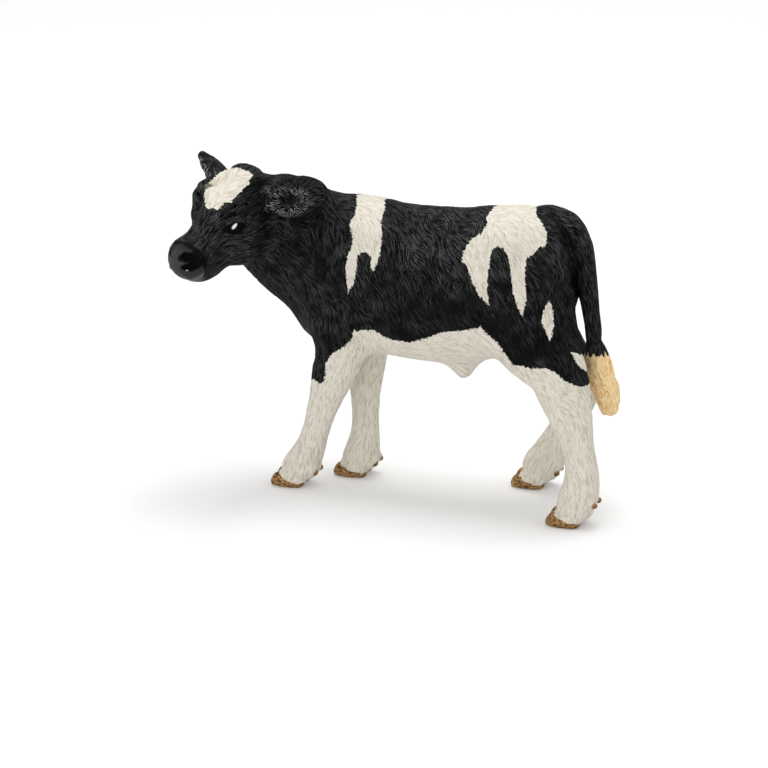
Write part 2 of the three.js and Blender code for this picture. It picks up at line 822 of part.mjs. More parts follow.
const tuftCore = tuftStations.map(({ at, deep, wide }) => ({
  at,
  deep: deep * tuftCoreShare,
  wide: wide * tuftCoreShare,
}));
const tailForm = blend(
  [limb(tailStations), limb(tuftCore), ...Array.from({ length: lock.count }, (_, i) => lockForm(i))],
  lock.depth,
);

function tailSolid() {
  const room = roomRound([...tailStations, ...tuftStations]);
  const clear = (p) => Math.max(tailForm(p), gap - calfForm(p));
  return join(skin(clear, room, tailCellSize), pegSolid(tailPeg, tailFrame, overrun));
}

// The figure

const pvc = (color, roughness = 0.6) => new THREE.MeshStandardMaterial({ color, roughness, metalness: 0 });
const blackPaint = pvc(0x1b1b1d);
const whitePaint = pvc(0xe9e3da);

function mesh(name, solid, material) {
  const { vertProperties, triVerts } = solid.getMesh();
  const geometry = new THREE.BufferGeometry()
    .setAttribute("position", new THREE.BufferAttribute(vertProperties, 3))
    .setIndex(new THREE.BufferAttribute(triVerts, 1));
  geometry.computeVertexNormals();
  const made = new THREE.Mesh(geometry, material);
  made.name = name;
  return made;
}

const calf = new THREE.Group();
calf.add(mesh("trunk", trunkSolid(), blackPaint));
calf.add(mesh("head", headSolid(), blackPaint));
calf.add(mesh("left_ear", earSolid(earPose.left), blackPaint));
calf.add(mesh("right_ear", earSolid(earPose.right), blackPaint));
Object.entries(legs).forEach(([name, leg]) => calf.add(mesh(name, legSolid(leg), whitePaint)));
calf.add(mesh("tail", tailSolid(), blackPaint));

// The calf stands with the middle of its outline over the origin
const middle = new THREE.Box3().setFromObject(calf).getCenter(point(0, 0, 0));
calf.position.set(-middle.x, -middle.y, 0);

export default calf;
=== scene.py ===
"""A toy calf of hand-painted PVC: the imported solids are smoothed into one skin, which gets its face, ears,
hooves, engraved coat and paint. Lengths are in millimetres until a mesh is made."""

import math

import bpy
import numpy as np
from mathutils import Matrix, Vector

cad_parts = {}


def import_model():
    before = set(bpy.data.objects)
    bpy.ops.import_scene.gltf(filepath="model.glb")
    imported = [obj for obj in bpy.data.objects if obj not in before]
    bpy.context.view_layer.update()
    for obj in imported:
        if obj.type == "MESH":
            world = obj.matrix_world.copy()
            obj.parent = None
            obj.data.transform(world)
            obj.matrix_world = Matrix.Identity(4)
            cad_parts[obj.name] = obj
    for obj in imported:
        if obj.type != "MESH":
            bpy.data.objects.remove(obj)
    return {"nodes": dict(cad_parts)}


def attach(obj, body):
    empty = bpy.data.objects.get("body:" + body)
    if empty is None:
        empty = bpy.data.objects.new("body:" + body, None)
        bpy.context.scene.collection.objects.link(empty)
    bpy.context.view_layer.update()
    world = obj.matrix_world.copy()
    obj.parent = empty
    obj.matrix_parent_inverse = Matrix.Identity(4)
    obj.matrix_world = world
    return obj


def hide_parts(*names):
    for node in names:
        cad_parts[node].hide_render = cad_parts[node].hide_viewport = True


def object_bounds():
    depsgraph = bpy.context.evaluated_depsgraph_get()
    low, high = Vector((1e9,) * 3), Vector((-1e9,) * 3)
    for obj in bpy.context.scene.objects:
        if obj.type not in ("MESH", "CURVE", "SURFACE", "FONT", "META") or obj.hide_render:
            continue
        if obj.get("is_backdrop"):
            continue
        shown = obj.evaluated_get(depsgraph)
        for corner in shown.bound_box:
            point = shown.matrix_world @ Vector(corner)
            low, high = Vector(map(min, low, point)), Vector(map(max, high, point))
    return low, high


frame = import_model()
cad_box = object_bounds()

import openvdb
from mathutils import Matrix, Vector

MM = 0.001

# Camera, at the photograph's angle: outlines read from the photograph are projected through it

PICTURE = 768
AZIMUTH = math.radians(18)
ELEVATION = math.radians(20)
DISTANCE = 620
PIXELS_PER_MM = 5.35
TARGET = np.array([-3.045, 1.837, 22.0])
FOCAL_PIXELS = DISTANCE * PIXELS_PER_MM

RIGHT = np.array([math.cos(AZIMUTH), math.sin(AZIMUTH), 0])
BACK = np.array([
    math.sin(AZIMUTH) * math.cos(ELEVATION),
    -math.cos(AZIMUTH) * math.cos(ELEVATION),
    math.sin(ELEVATION),
])
UP = np.cross(BACK, RIGHT)

# The plane that halves the calf, the frame of its head (which faces -X in it), and their places

MIDDLE_Y = 6.237
HEAD_PLACE = np.array([-28.545, 2.837, 55.6])
HEAD_TURN = np.array(
    Matrix.Rotation(math.radians(70), 3, "Z")
    @ Matrix.Rotation(math.radians(-19), 3, "Y")
    @ Matrix.Rotation(math.radians(4.4), 3, "X")
)

# Paint outlines on the calf's left side, in the photograph's pixels

SHOULDER_BAND = [
    (356, 190), (385, 190), (385, 207), (381, 223), (382, 237), (380, 252), (378, 260), (373.5, 272),
    (370.5, 266), (371, 258), (368, 253), (364, 251.5), (358, 255), (356.5, 262), (356, 272), (354, 282),
    (348, 294), (346.5, 280), (345.5, 268), (347.5, 256), (351.5, 248), (353, 237), (350, 227), (350.5, 221),
    (355, 215), (357, 203),
]
RUMP_PATCH = [
    (497, 200), (536.5, 200), (536, 214), (541, 222), (546.5, 231), (547, 238), (545.5, 247), (539, 246.5),
    (536, 252), (527, 258), (525, 268), (525, 280), (526.5, 294.5), (525, 305), (522, 317), (517, 305),
    (513, 292), (512, 280), (510, 268), (508, 256), (504, 249), (498.5, 246), (492.5, 249), (490.5, 256),
    (489, 268), (487, 280), (487, 292), (489.5, 305), (484, 301.5), (477, 292), (472, 282), (469, 272),
    (467, 265), (462, 261.5), (462.5, 254), (467, 245.5), (472, 238.5), (481, 234), (486, 225), (487, 217),
    (491.5, 211),
]
THIGH_SPOT = [
    (549, 301), (553.5, 311), (553.5, 325), (552, 337), (549.5, 340), (545.5, 333), (541.5, 322),
    (542.5, 315), (545.5, 307),
]
# Everything below this line is white, from in front of the brisket to behind the hock
LOWER_EDGE = [
    (150, 379), (314, 379), (317.5, 382), (321, 383.5), (324, 381), (325, 376), (326, 363), (332, 354),
    (345, 346.5), (352, 338), (353, 329), (357, 332), (364, 330), (374, 330), (383, 336), (394.5, 340.5),
    (410, 342.5), (426, 338.5), (442.5, 332), (461, 331), (479, 328), (480.5, 326), (483, 330),
    (493.5, 339.5), (499.5, 345.5), (505, 354), (513, 365), (522, 366), (532, 369), (544.5, 368), (555, 372),
    (563, 380), (573, 385), (581, 387), (589.5, 384), (591.5, 381), (587, 372), (579, 366), (571, 352.5),
    (585, 355), (640, 357),
]
STAR = [
    (206, 185), (212, 180), (217, 175), (226.5, 169), (237, 167.5), (244, 170), (250, 172.5), (252.5, 175),
    (249, 180), (250, 183), (245, 187), (242, 191), (234, 198), (231, 202.5), (224, 203), (218, 210),
    (212, 208), (207, 209), (205, 204), (204.5, 198), (204.5, 191),
]

# The sliver of background between the thigh and the tail
BEHIND_THIGH = [
    (574.5, 285), (577, 290), (580.5, 303), (584.5, 325), (586, 340), (586, 352), (584, 352), (580.5, 338),
    (577, 320), (575, 303),
]
# The groove above it, from point to point: (x, y, 0, half width)
TAIL_GROOVE = ((550, 215, 0, 3.5), (560, 224, 0, 5), (568, 241, 0, 6), (573, 262, 0, 6), (575, 286, 0, 4))

# Which way the hair lies on the trunk, the legs and the tail: at (x, z) it runs along (dx, dz)

BODY_HAIR = [
    ((-21, 52), (0.75, -0.65)),
    ((-18, 44), (0.6, -0.8)),
    ((-4, 55), (0.6, -0.8)),
    ((-8, 45), (0.4, -0.92)),
    ((-13, 34), (0.3, -0.95)),
    ((-12, 27), (-0.25, -0.97)),
    ((-5, 30), (0.2, -0.98)),
    ((6, 43), (0.5, -0.86)),
    ((5, 33), (0.62, -0.78)),
    ((8, 27), (0.96, -0.28)),
    ((17, 33), (0.7, -0.7)),
    ((12, 23), (0.25, -0.97)),
    ((26, 50), (0.5, -0.86)),
    ((28, 38), (0.45, -0.9)),
    ((22, 28), (0.7, -0.7)),
    ((29, 24), (0.7, -0.7)),
    ((33, 16), (0.15, -0.98)),
    ((-16, 17), (-0.15, -0.98)),
    ((-20, 6), (-0.3, -0.95)),
    ((-9, 8), (-0.05, -1)),
    ((24, 7), (-0.3, -0.95)),
    ((34, 5), (-0.05, -1)),
    ((31, 57), (0.95, -0.3)),
    ((36, 54), (0.5, -0.86)),
    ((37, 44), (0.03, -1)),
    ((38, 34), (0.12, -1)),
    ((40, 25), (0.25, -0.97)),
]
# How much grey is dry-brushed on the black coat at (x, z), and how far each place spreads. The levels also
# hold painted light and shade: lighter on the upper body, darker low on the flank, on the thigh and on the
# neck under the head.
BRUSH_AND_LIGHT_LEVELS = [
    ((-30, 51), 0.75),
    ((-26, 58), 0.6),
    ((-19, 46), 0.3),
    ((-15, 34), 0.45),
    ((-6, 52), 0.7),
    ((9, 50), 0.9),
    ((9, 41), 0.3),
    ((9, 33), 0.2),
    ((29, 56), 0.8),
    ((29, 41), 0.2),
    ((38, 52), 0.6),
    ((38, 38), 0.45),
]
BRUSH_SPREAD = 5
# In the head's frame, on its left side: at (x, y, z) the hair runs along (dx, dy, dz)
HEAD_HAIR = [
    ((-17, -1, 4), (0.9, 0, 0.4)),
    ((-18, -3, 0), (0.95, -0.2, -0.1)),
    ((-14, -3, -5), (0.95, 0, -0.3)),
    ((-8, -5, -4), (0.8, -0.1, -0.6)),
    ((-9, -3, 6), (0.9, -0.4, 0.3)),
    ((-4, -5, 3), (0.9, -0.2, -0.4)),
    ((-3, -1, 7), (0.9, -0.4, 0.1)),
]


def lengths(vectors):
    return np.sqrt((vectors * vectors).sum(axis=-1))


def units(vectors):
    return vectors / np.maximum(lengths(vectors), 1e-9)[..., None]


def smooth_step(value, low, high):
    share = np.clip((value - low) / (high - low), 0, 1)
    return share * share * (3 - 2 * share)


def pixels(points):
    """Where points show in the photograph"""
    away = points - TARGET
    scale = FOCAL_PIXELS / (DISTANCE - away @ BACK)
    return np.stack([PICTURE / 2 + scale * (away @ RIGHT), PICTURE / 2 - scale * (away @ UP)], axis=-1)


def inside_by(places, outline):
    """How many millimetres places in the picture lie inside an outline, negative outside it"""
    corners = np.array(outline, float)
    nearest = np.full(len(places), np.inf)
    inside = np.zeros(len(places), bool)
    for start, end in zip(corners, np.roll(corners, -1, axis=0)):
        side = end - start
        share = np.clip(((places - start) @ side) / (side @ side), 0, 1)
        nearest = np.minimum(nearest, lengths(places - start - share[:, None] * side))
        if start[1] != end[1]:
            spans = (places[:, 1] < start[1]) != (places[:, 1] < end[1])
            crossing = start[0] + side[0] * (places[:, 1] - start[1]) / side[1]
            inside ^= spans & (places[:, 0] < crossing)
    return np.where(inside, nearest, -nearest) / PIXELS_PER_MM


# Noise and hair

LATTICE = np.random.default_rng(7).random((64, 64, 64)).astype(np.float32)


def noise(points, cell):
    """Smooth noise from 0 to 1 on a lattice of cells of that size"""
    place = points / cell
    low = np.floor(place).astype(int)
    share = place - low
    share = share * share * (3 - 2 * share)
    total = 0
    for corner in np.ndindex(2, 2, 2):
        weight = np.prod(np.where(corner, share, 1 - share), axis=-1)
        x, y, z = np.moveaxis((low + corner) % 64, -1, 0)
        total = total + weight * LATTICE[x, y, z]
    return total


def strokes(points, flow, cell, length):
    """Noise drawn out along the hair, from about -1 in a groove to 1 on a ridge"""
    steps = np.linspace(-0.5, 0.5, 9) * length
    drawn = sum(noise(points + step * flow, cell) for step in steps) / len(steps)
    return np.clip((drawn - 0.5) * 5, -1, 1)


def laid(way, points, normals):
    """Directions that wander a little and lie in the skin"""
    wander = np.stack([noise(points + shift, 2.6) for shift in (0, 11, 23)], axis=-1) - 0.5
    way = way + 1.1 * wander
    way = way - (way * normals).sum(axis=1)[:, None] * normals
    return units(way)


def in_head(points):
    return (points - HEAD_PLACE) @ HEAD_TURN


def from_head(points):
    return points @ HEAD_TURN.T + HEAD_PLACE


def combed(places, table, spread):
    """The way the hair runs at places, by the nearest of a table's directions"""
    known = np.array([place for place, _ in table], float)
    ways = np.array([way for _, way in table], float)
    weights = np.exp(-((places[:, None, :] - known) ** 2).sum(axis=2) / (2 * spread**2))
    return units((weights + 1e-12) @ ways)


def hair_flow(points, normals):
    """The hair's direction. The head's own hair passes into the body's over the neck."""
    on_body = combed(points[:, [0, 2]], BODY_HAIR, 4.5)
    on_body = np.stack([on_body[:, 0], np.zeros(len(points)), on_body[:, 1]], axis=1)
    local = in_head(points)
    mirror = np.where(local[:, 1:2] > 0, [1, -1, 1], [1, 1, 1])
    on_head = (combed(local * mirror, HEAD_HAIR, 4) * mirror) @ HEAD_TURN.T
    off_head = smooth_step(lengths(local - [-11, 0, 0]), 14, 18)
    body_share = np.maximum(smooth_step(local[:, 0], -2, 5), off_head)[:, None]
    return laid(units(on_head * (1 - body_share) + on_body * body_share), points, normals)


# Fields: signed distances on a grid, negative inside a form


class Grid:
    """Even cells that fill a box"""

    def __init__(self, low, high, cell):
        self.cell = cell
        self.first = np.floor(np.asarray(low) / cell).astype(int)
        self.shape = np.ceil(np.asarray(high) / cell).astype(int) - self.first + 1

    def axis(self, n):
        return (self.first[n] + np.arange(self.shape[n])) * self.cell

    def points(self):
        axes = [self.axis(n) for n in range(3)]
        return np.stack(np.meshgrid(*axes, indexing="ij"), axis=-1).astype(np.float32)

    def distances(self, shells, band=3.0):
        """Distances to closed shells of triangles, no further than the band"""
        starts = np.cumsum([0] + [len(points) for points, _ in shells])
        faces = [faces + start for (_, faces), start in zip(shells, starts)]
        level = openvdb.FloatGrid.createLevelSetFromPolygons(
            np.concatenate([points for points, _ in shells]).astype(np.float32),
            triangles=np.concatenate(faces).astype(np.uint32),
            transform=openvdb.createLinearTransform(voxelSize=self.cell),
            halfWidth=band / self.cell,
        )
        values = np.empty(self.shape, np.float32)
        level.copyToArray(values, ijk=tuple(int(n) for n in self.first))
        return values

    def surface(self, values, level=0.0):
        """The skin where values reach a level: its points and quads, facing outwards"""
        field = openvdb.FloatGrid(3.0)
        field.transform = openvdb.createLinearTransform(voxelSize=self.cell)
        field.copyFromArray(np.ascontiguousarray(values, np.float32), ijk=tuple(int(n) for n in self.first))
        points, _, quads = field.convertToPolygons(isovalue=level)
        return points, quads[:, ::-1].astype(np.int64)

    def window(self, centre, reach):
        """The cells within reach of a point, and where they are"""
        low = np.maximum(np.floor((centre - reach) / self.cell).astype(int) - self.first, 0)
        high = np.minimum(np.ceil((centre + reach) / self.cell).astype(int) - self.first + 1, self.shape)
        high = np.maximum(high, low)
        cells = tuple(slice(a, b) for a, b in zip(low, high))
        axes = [self.axis(n)[cells[n]] for n in range(3)]
        return cells, np.stack(np.meshgrid(*axes, indexing="ij"), axis=-1)

    def reshape(self, values, centre, reach, form):
        """Passes the values within reach of a centre through a form"""
        cells, points = self.window(centre, reach)
        if min(points.shape[:3]):
            values[cells] = form(points, values[cells])

    def sampled(self, values, points):
        """Values at points between the cells"""
        place = points / self.cell - self.first
        place = np.clip(place, 0, self.shape - 1.001)
        low = place.astype(int)
        share = place - low
        total = 0
        for corner in np.ndindex(2, 2, 2):
            x, y, z = np.moveaxis(low + corner, -1, 0)
            total = total + np.prod(np.where(corner, share, 1 - share), axis=-1) * values[x, y, z]
        return total

    def slopes(self, values, points):
        """Unit normals of the field at points"""
        steps = np.eye(3) * self.cell
        rise = [self.sampled(values, points + step) - self.sampled(values, points - step) for step in steps]
        return units(np.stack(rise, axis=-1))

    def taken_from(self, other, values):
        """Values of another grid at the cells of this one"""
        for n in range(3):
            place = np.clip(self.axis(n) / other.cell - other.first[n], 0, other.shape[n] - 1.001)
            low = place.astype(int)
            share = (place - low).astype(np.float32).reshape([-1 if n == m else 1 for m in range(3)])
            values = values.take(low, axis=n) * (1 - share) + values.take(low + 1, axis=n) * share
        return values


def blurred(values, sigma):
    """Gaussian blur, with sigma in cells"""
    reach = math.ceil(3 * sigma)
    taps = np.exp(-0.5 * (np.arange(-reach, reach + 1) / sigma) ** 2)
    taps = (taps / taps.sum()).astype(np.float32)
    for n in range(3):
        count = values.shape[n]
        padded = np.pad(values, [(reach, reach) if n == m else (0, 0) for m in range(3)], mode="edge")
        parts = (tap * padded[(slice(None),) * n + (slice(i, i + count),)] for i, tap in enumerate(taps))
        values = sum(parts)
    return values


def smooth_min(a, b, radius):
    share = np.clip(radius - np.abs(a - b), 0, None) / radius
    return np.minimum(a, b) - share * share * radius / 4


def smooth_max(a, b, radius):
    return -smooth_min(-a, -b, radius)


def chain(points, *beads):
    """Distance to a string of beads (x, y, z, radius) that taper into each other"""
    beads = np.array(beads, float)
    least = np.inf
    for start, end in zip(beads, beads[1:]):
        along = end[:3] - start[:3]
        share = np.clip(((points - start[:3]) @ along) / (along @ along), 0, 1)
        radius = start[3] + (end[3] - start[3]) * share
        least = np.minimum(least, lengths(points - start[:3] - share[..., None] * along) - radius)
    return least


def egg(points, centre, radii):
    """Distance to an ellipsoid"""
    away = (points - centre) / np.asarray(radii)
    k = np.maximum(lengths(away), 1e-6)
    return lengths(points - centre) * (1 - 1 / k)


def solid_shell(node):
    """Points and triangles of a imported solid"""
    mesh = frame["nodes"][node].data
    mesh.calc_loop_triangles()
    points = np.empty(len(mesh.vertices) * 3, np.float32)
    faces = np.empty(len(mesh.loop_triangles) * 3, np.int32)
    mesh.vertices.foreach_get("co", points)
    mesh.loop_triangles.foreach_get("vertices", faces)
    return points.reshape(-1, 3) / MM, faces.reshape(-1, 3)


SHELLS = {node: solid_shell(node) for node in frame["nodes"]}
EARS = ("left_ear", "right_ear")
LEGS = [node for node in SHELLS if node.endswith("_leg")]


def solids_box(margin=3):
    """The low and the high corner of a box round all solids"""
    everything = np.concatenate([points for points, _ in SHELLS.values()])
    return everything.min(axis=0) - margin, everything.max(axis=0) + margin


# How far each cell of a coarse grid is from each node
NEAR_GRID = Grid(*solids_box(), 0.5)
NEAR = {node: NEAR_GRID.distances([shell]) for node, shell in SHELLS.items()}


def triangles_of(quads):
    return np.concatenate([quads[:, [0, 1, 2]], quads[:, [0, 2, 3]]])


def largest_shell(points, faces):
    """The largest connected surface among faces"""
    label = np.arange(len(points))
    corners = faces.ravel()
    while True:
        least = np.repeat(label[faces].min(axis=1), faces.shape[1])
        lower = label.copy()
        np.minimum.at(lower, label[corners], least)
        np.minimum.at(lower, corners, least)
        lower = lower[lower]
        if (lower == label).all():
            break
        label = lower
    kept = label == np.bincount(label[faces[:, 0]]).argmax()
    renumbered = np.cumsum(kept) - 1
    return points[kept], renumbered[faces[kept[faces[:, 0]]]]


def whole_skin(closing=0.25, crisp=0.45, soft=1.1, growth=0.1):
    """The solids but the ears as one smooth form: the partings are closed, and the facets blurred away"""
    joined = [shell for node, shell in SHELLS.items() if node not in EARS]
    fine = Grid(*solids_box(), 0.2)
    points, quads = fine.surface(fine.distances(joined, 1), closing)
    grid = Grid(*solids_box(), 0.25)
    values = grid.distances([largest_shell(points, triangles_of(quads))]) + closing
    limbs = np.minimum.reduce([near for node, near in NEAR.items() if node != "trunk"])
    softness = smooth_step(grid.taken_from(NEAR_GRID, limbs), 0, 2.9)
    sharp, smoothed = (blurred(values, sigma / grid.cell) for sigma in (crisp, soft))
    return grid, sharp * (1 - softness) + smoothed * softness - growth


BODY_GRID, BODY = whole_skin()


# Sculpting. The left side of the face is sculpted in the head's frame, and the right side mirrors it.

EYE = np.array([-11.4, -4.5, 2.1])
# Rows: along the opening to its rear corner, up, and out of the head
EYE_AXES = np.array([[0.746, -0.46, -0.481], [0.377, 0.084, 0.92], [-0.383, -0.867, 0.236]])
# Ellipsoids: (centre, radii)
EYE_SOCKET = ((0, 0, 1.5), (3.3, 2.1, 1.35))
EYE_OPENING = ((-0.1, 0.05, 0.2), (2.5, 1.35, 0.8))
EYEBALL = ((0, 0, -0.75), (2.7, 1.75, 1.25))
# Strings of beads: (x, y, z, radius) each
UPPER_LID = (
    (-2.4, -0.2, -0.1, 0.2), (-1.5, 0.9, 0.3, 0.34), (0, 1.42, 0.45, 0.42), (1.5, 0.95, 0.3, 0.36),
    (2.5, -0.2, -0.1, 0.2),
)
LOWER_LID = (
    (-2.4, -0.2, -0.1, 0.2), (-1.4, -0.95, 0.2, 0.28), (0, -1.3, 0.3, 0.34), (1.4, -1, 0.2, 0.3),
    (2.5, -0.2, -0.1, 0.2),
)
WRINKLES = (
    ((-12.2, -3.0, 4.1, 0.15), (-11.2, -3.9, 4.6, 0.3), (-9.9, -4.9, 4.7, 0.34), (-8.4, -5.5, 3.6, 0.2)),
    ((-11.5, -2.7, 5.3, 0.15), (-10.3, -4.1, 6.0, 0.3), (-8.8, -5.2, 5.7, 0.34), (-6.8, -5.4, 4.2, 0.2)),
    ((-10.4, -2.3, 6.5, 0.15), (-9.0, -3.6, 6.9, 0.28), (-7.2, -4.4, 6.1, 0.3), (-5.2, -4.9, 4.6, 0.15)),
)


def in_eye(local):
    return (local - EYE) @ EYE_AXES.T


def eye_form(local, skin):
    """Sinks a socket with a ball into the skin and rims it with two lids"""
    place = in_eye(local)
    skin = smooth_max(skin, -egg(place, *EYE_SOCKET), 0.6)
    skin = smooth_max(skin, -egg(place, *EYE_OPENING), 0.3)
    skin = np.minimum(skin, egg(place, *EYEBALL))
    skin = smooth_min(skin, chain(place, *UPPER_LID), 0.35)
    return smooth_min(skin, chain(place, *LOWER_LID), 0.35)


def brow_form(local, skin):
    """Presses wrinkles into the brow"""
    for wrinkle in WRINKLES:
        skin = smooth_max(skin, -chain(local, *wrinkle), 0.5)
    return skin


# The muzzle is bent a little to the right: its own middle plane lies here
MUZZLE_Y = 0.95
NOSTRIL = ((-22.8, -1.4, 1.5, 0.45), (-22.3, -2.3, 1.65, 0.9), (-21.5, -3.8, 1.5, 0.7))
MOUTH = ((-23.1, -2.1, -0.2, 0.35), (-22.7, -3.4, 0, 0.75), (-21.7, -4.5, 0.4, 0.75))
LIP = ((-23.2, -1.1, -1.1, 0.2), (-23.1, -2.2, -2, 0.25), (-22.1, -2.6, -3.2, 0.2))


def muzzle_form(local, skin):
    """A nostril, the hollow in the corner of the mouth and the rim of the lower lip"""
    skin = smooth_max(skin, -chain(local, *NOSTRIL), 0.4)
    skin = smooth_max(skin, -chain(local, *MOUTH), 0.3)
    return skin - 0.2 * smooth_step(chain(local, *LIP), 0.3, 0)


RIGHT_BROW = (
    (-3, 5, 4.6, 1.3), (-5, 5.6, 5.2, 1.1), (-7, 5.6, 5.4, 1.2), (-8.8, 5, 4.9, 1.1), (-10.6, 4.5, 3.9, 0.9),
    (-12.6, 3.6, 3.1, 0.7),
)
CROWN = (0.2, -1.4, 6.4)


def right_brow_form(local, skin):
    """Builds out the brow that shows in the outline of the head"""
    return smooth_min(skin, chain(local, *RIGHT_BROW), 1)


def crown_form(local, skin):
    """Lowers the crown a little"""
    return skin + 0.5 * smooth_step(lengths(local - CROWN), 4.5, 1.5)


# Forms that both sides share: the centre and the reach of each, and the middle plane that it mirrors in
BOTH_SIDES = (
    (eye_form, EYE, 6.5, 0),
    (brow_form, (-9, -4, 5), 6, 0),
    (muzzle_form, (-21, -1.5, 0), 7, MUZZLE_Y),
)
ONE_SIDE = ((crown_form, (0, -1, 6), 8), (right_brow_form, (-8, 5, 5), 8))


def sculpt_face(grid, values):
    for mirror in ([1, 1, 1], [1, -1, 1]):
        for form, centre, reach, middle in BOTH_SIDES:
            grid.reshape(
                values, from_head(np.array(centre) * mirror), reach,
                lambda points, skin: form((in_head(points) - [0, middle, 0]) * mirror, skin),
            )
    for form, centre, reach in ONE_SIDE:
        grid.reshape(
            values, from_head(np.array(centre)), reach, lambda points, skin: form(in_head(points), skin)
        )


def ear_axes(side, sweep, lift, roll):
    """Rows: from an ear's root to its tip, across it, and out of its hollow"""
    sweep, lift, roll = (math.radians(angle) for angle in (sweep, lift, roll))
    level = math.cos(lift)
    to_tip = Vector((math.sin(sweep) * level, side * math.cos(sweep) * level, math.sin(lift)))
    opening = Vector((-1, 0, 0))
    opening = (opening - opening.dot(to_tip) * to_tip).normalized()
    opening.rotate(Matrix.Rotation(side * roll, 3, to_tip))
    return np.array([to_tip, opening.cross(to_tip), opening])


EAR_ROOTS = {"left_ear": np.array([-2.2, -4.8, 2.9]), "right_ear": np.array([-2.2, 4.8, 2.9])}
EAR_AXES = {"left_ear": ear_axes(-1, 29, 6, 24), "right_ear": ear_axes(1, 35, 1, -13)}
EAR_PIT = np.array([4.2, -1, 0])

# In an ear's frame: ellipsoids (centre, radii) and strings of beads (x, y, z, radius)
EAR_ROOT = ((0.4, -0.3, -0.3), (2.8, 2.5, 2))
LEFT_BOWL = ((6, -0.5, 0.7), (6.15, 3.85, 2.3))
LEFT_HOLLOW = ((4.8, -0.7, 3.5), (4.2, 2.7, 3.1))
LEFT_PIT = (EAR_PIT + [0, 0, 1.2], (1.9, 1.4, 2))
RIGHT_LEAF = ((4.2, 0.4, 0.1), (4.1, 3.1, 1.4))
RIGHT_HOLLOW = ((4.6, 0.4, 2.4), (3.4, 2, 1.6))
RIGHT_TIP = (8.5, -2.3, 1.1, 0.75)
RIGHT_REAR_RIM = (
    (1, 0.8, -0.5, 1.8), (4, 0.4, -0.4, 1.5), (6.5, 0.1, -0.3, 1.2), (7.6, -1, 0.2, 1.05), RIGHT_TIP,
)
RIGHT_FRONT_RIM = ((0, 0, 0.6, 1.8), (3, -1, 1, 1.45), (6, -2.1, 1.15, 1.1), RIGHT_TIP)


def in_ear(points, node):
    return (in_head(points) - EAR_ROOTS[node]) @ EAR_AXES[node].T


def left_ear_form(place):
    """A thick-rimmed bowl with a deep pit near its root"""
    form = smooth_max(egg(place, *LEFT_BOWL), -egg(place, *LEFT_HOLLOW), 0.9)
    return smooth_max(form, -egg(place, *LEFT_PIT), 0.5)


def right_ear_form(place):
    """A flatter leaf that stands more on its edge, with a pointed tip"""
    form = smooth_max(egg(place, *RIGHT_LEAF), -egg(place, *RIGHT_HOLLOW), 0.6)
    rim = smooth_min(chain(place, *RIGHT_REAR_RIM), chain(place, *RIGHT_FRONT_RIM), 0.6)
    return smooth_min(form, rim, 0.6)


def add_ears(grid, values):
    """Roots both ears in the head"""
    points = grid.points()
    for node, form in (("left_ear", left_ear_form), ("right_ear", right_ear_form)):
        place = in_ear(points, node)
        values = smooth_min(values, egg(place, *EAR_ROOT), 0.6)
        values = smooth_min(values, form(place), 0.5)
    return values


# How far behind the heel and how high the dewclaws are, and how far from the middle of the foot
DEWCLAWS = {
    "front_left_leg": (2.3, 3.2),
    "front_right_leg": (1.8, 3.0),
    "hind_left_leg": (2.7, 4.7),
    "hind_right_leg": (2.4, 3.4),
}
DEWCLAW_APART = 1.5
DEWCLAW_RADII = (0.75, 0.55, 0.6)
# The cleft in front, as beads (from the toe, height, radius), and under the sole: half its width, its height
CLEFT = ((-0.6, -1, 0.42), (0.2, 2.4, 0.3), (1.6, 4.6, 0.12))
UNDER_CLEFT = (0.18, 0.9)
HAIR_OVER_HOOF = 0.15


def feet():
    """The toe, the heel and the middle of each foot, from the flat sole of its leg, and its dewclaws"""
    found = {}
    for node in LEGS:
        points, _ = SHELLS[node]
        sole = points[points[:, 2] < 0.05]
        low, high = sole.min(axis=0), sole.max(axis=0)
        y = (low[1] + high[1]) / 2
        behind, z = DEWCLAWS[node]
        pair = [np.array([high[0] + behind, y + side * DEWCLAW_APART, z]) for side in (-1, 1)]
        found[node] = {"toe": low[0], "heel": high[0], "y": y, "dewclaws": pair}
    return found


FEET = feet()


def above_coronet(points, foot):
    """How high points lie above the hair's lower edge round a hoof"""
    toward_toe = np.clip((foot["heel"] - points[..., 0]) / (foot["heel"] - foot["toe"]), 0, 1.1)
    return points[..., 2] - 1.1 - 2.6 * toward_toe**2 + 0.4 * (noise(points, 0.6) - 0.5)


def sculpt_hoof(grid, values, foot):
    """Parts the two claws, lets the hair stand out over them and adds the dewclaws"""
    toe, y = foot["toe"], foot["y"]
    half_width, height = UNDER_CLEFT

    def form(points, skin):
        cleft = chain(points, *((toe + ahead, y, z, radius) for ahead, z, radius in CLEFT))
        under = np.maximum(np.abs(points[..., 1] - y) - half_width, points[..., 2] - height)
        skin = smooth_max(skin, -np.minimum(cleft, under), 0.4)
        above = above_coronet(points, foot)
        skin = skin - HAIR_OVER_HOOF * smooth_step(above, -0.08, 0.08) * (1 - smooth_step(above, 0.6, 3.2))
        for claw in foot["dewclaws"]:
            skin = smooth_min(skin, egg(points, claw, DEWCLAW_RADII), 0.25)
        return skin

    grid.reshape(values, np.array([(toe + foot["heel"]) / 2, y, 3]), 8, form)


# Paint and coat


def left_side(points):
    """Points folded across the middle plane onto the side that the photograph shows. On the hidden side
    the markings drift away from a mirror image the further down they lie."""
    folded = points.copy()
    beyond = np.maximum(points[:, 1] - MIDDLE_Y, 0)
    folded[:, 1] -= 2 * beyond
    drift = smooth_step(beyond, 2, 9)
    folded[:, 0] += drift * 2.2 * np.sin(points[:, 2] / 4.3)
    folded[:, 2] += drift * 1.6 * np.sin(points[:, 0] / 5.1 + 1)
    return folded


# The inner sides of the legs are white up to a height, and the outlines count there up to another
INNER_WHITE_TOP = 27.5
INNER_OUTLINE_TOP = 29


